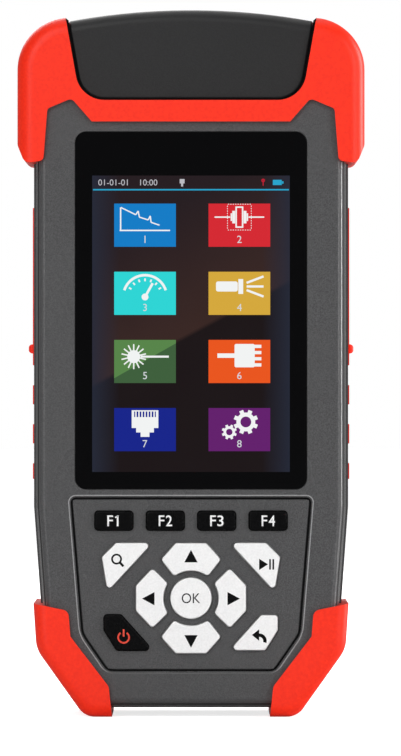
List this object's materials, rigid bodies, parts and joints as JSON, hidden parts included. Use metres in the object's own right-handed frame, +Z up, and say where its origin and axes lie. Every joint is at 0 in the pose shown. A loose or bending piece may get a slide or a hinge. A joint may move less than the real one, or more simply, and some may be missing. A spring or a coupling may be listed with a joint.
{
  "type": "optical time domain reflectometer",
  "caption": "Handheld optical fibre tester with an upright colour screen, press keys, rubber corner guards, a hinged port cover and a fold-out stand.",
  "frame": {"origin": "under the middle of the instrument, on the plane of its two rubber feet", "axes": "+X to the user's right, +Y from the screen to the back, +Z up along the height"},
  "size_m": [0.0862, 0.042, 0.1755],
  "materials": {
    "case_plastic": "fine moulded texture",
    "cover_plastic": "fine moulded texture",
    "red_rubber": "satin soft-touch",
    "black_glass": "polished",
    "display_stack": "smooth",
    "foam": "open foam",
    "black_moulding": "moulded",
    "board_green": "solder mask",
    "tinned_steel": "tinned",
    "aluminium_housing": "cast",
    "battery_wrap": "shrink wrap",
    "silicone": "moulded silicone",
    "screw_steel": "zinc plated",
    "insert_brass": "knurled",
    "nickel": "nickel plated",
    "contact_gold": "gold plated",
    "black_key": "satin",
    "white_key": "satin"
  },
  "bodies": {
    "case": {"battery_door": "case_plastic", "battery_pack": "battery_wrap", "board_components": "black_moulding", "buzzer": "black_moulding", "case_screws": "screw_steel", "charging_port": "nickel", "cover_pin": "screw_steel", "display_carrier": "black_moulding", "display_foam": "foam", "display_lens": "black_glass", "display_panel": "display_stack", "door_screws": "screw_steel", "fault_locator_port": "nickel", "front_shell": "case_plastic", "jack_contacts": "contact_gold", "keypad_mat": "silicone", "kickstand_pin": "screw_steel", "lower_guard_left": "red_rubber", "lower_guard_right": "red_rubber", "main_board": "board_green", "network_jack": "black_moulding", "optical_module": "aluminium_housing", "otdr_port": "nickel", "panel_screws": "screw_steel", "port_nuts": "nickel", "port_panel": "cover_plastic", "power_meter_port": "nickel", "rear_shell": "case_plastic", "receiver_shield": "tinned_steel", "shell_seal": "silicone", "side_grip_left": "red_rubber", "side_grip_right": "red_rubber", "threaded_inserts": "insert_brass", "top_guard": "red_rubber"},
    "port_cover": {"port_cover": "cover_plastic"},
    "kickstand": {"kickstand": "cover_plastic"},
    "key_back": {"key_back": "white_key"},
    "key_down": {"key_down": "white_key"},
    "key_f1": {"key_f1": "black_key"},
    "key_f2": {"key_f2": "black_key"},
    "key_f3": {"key_f3": "black_key"},
    "key_f4": {"key_f4": "black_key"},
    "key_left": {"key_left": "white_key"},
    "key_ok": {"key_ok": "white_key"},
    "key_power": {"key_power": "black_key"},
    "key_right": {"key_right": "white_key"},
    "key_run_pause": {"key_run_pause": "white_key"},
    "key_up": {"key_up": "white_key"},
    "key_zoom": {"key_zoom": "white_key"}
  },
  "joints": [
    {"name": "key_back_press", "type": "slide", "parent": "case", "child": "key_back", "axis": [0, 1, 0], "range_m": [0, 0.0008], "stiffness_N_per_m": 1500, "springref_m": -0.0004},
    {"name": "key_down_press", "type": "slide", "parent": "case", "child": "key_down", "axis": [0, 1, 0], "range_m": [0, 0.0008], "stiffness_N_per_m": 1500, "springref_m": -0.0004},
    {"name": "key_f1_press", "type": "slide", "parent": "case", "child": "key_f1", "axis": [0, 1, 0], "range_m": [0, 0.0008], "stiffness_N_per_m": 1500, "springref_m": -0.0004},
    {"name": "key_f2_press", "type": "slide", "parent": "case", "child": "key_f2", "axis": [0, 1, 0], "range_m": [0, 0.0008], "stiffness_N_per_m": 1500, "springref_m": -0.0004},
    {"name": "key_f3_press", "type": "slide", "parent": "case", "child": "key_f3", "axis": [0, 1, 0], "range_m": [0, 0.0008], "stiffness_N_per_m": 1500, "springref_m": -0.0004},
    {"name": "key_f4_press", "type": "slide", "parent": "case", "child": "key_f4", "axis": [0, 1, 0], "range_m": [0, 0.0008], "stiffness_N_per_m": 1500, "springref_m": -0.0004},
    {"name": "key_left_press", "type": "slide", "parent": "case", "child": "key_left", "axis": [0, 1, 0], "range_m": [0, 0.0008], "stiffness_N_per_m": 1500, "springref_m": -0.0004},
    {"name": "key_ok_press", "type": "slide", "parent": "case", "child": "key_ok", "axis": [0, 1, 0], "range_m": [0, 0.0008], "stiffness_N_per_m": 1500, "springref_m": -0.0004},
    {"name": "key_power_press", "type": "slide", "parent": "case", "child": "key_power", "axis": [0, 1, 0], "range_m": [0, 0.0008], "stiffness_N_per_m": 1500, "springref_m": -0.0004},
    {"name": "key_right_press", "type": "slide", "parent": "case", "child": "key_right", "axis": [0, 1, 0], "range_m": [0, 0.0008], "stiffness_N_per_m": 1500, "springref_m": -0.0004},
    {"name": "key_run_pause_press", "type": "slide", "parent": "case", "child": "key_run_pause", "axis": [0, 1, 0], "range_m": [0, 0.0008], "stiffness_N_per_m": 1500, "springref_m": -0.0004},
    {"name": "key_up_press", "type": "slide", "parent": "case", "child": "key_up", "axis": [0, 1, 0], "range_m": [0, 0.0008], "stiffness_N_per_m": 1500, "springref_m": -0.0004},
    {"name": "key_zoom_press", "type": "slide", "parent": "case", "child": "key_zoom", "axis": [0, 1, 0], "range_m": [0, 0.0008], "stiffness_N_per_m": 1500, "springref_m": -0.0004},
    {"name": "cover_hinge", "type": "hinge", "parent": "case", "child": "port_cover", "pos_m": [0, 0.0163, 0.157], "axis": [-1, 0, 0], "range_deg": [0, 95]},
    {"name": "stand_hinge", "type": "hinge", "parent": "case", "child": "kickstand", "pos_m": [0, 0.017, 0.101], "axis": [1, 0, 0], "range_deg": [0, 60]}
  ]
}
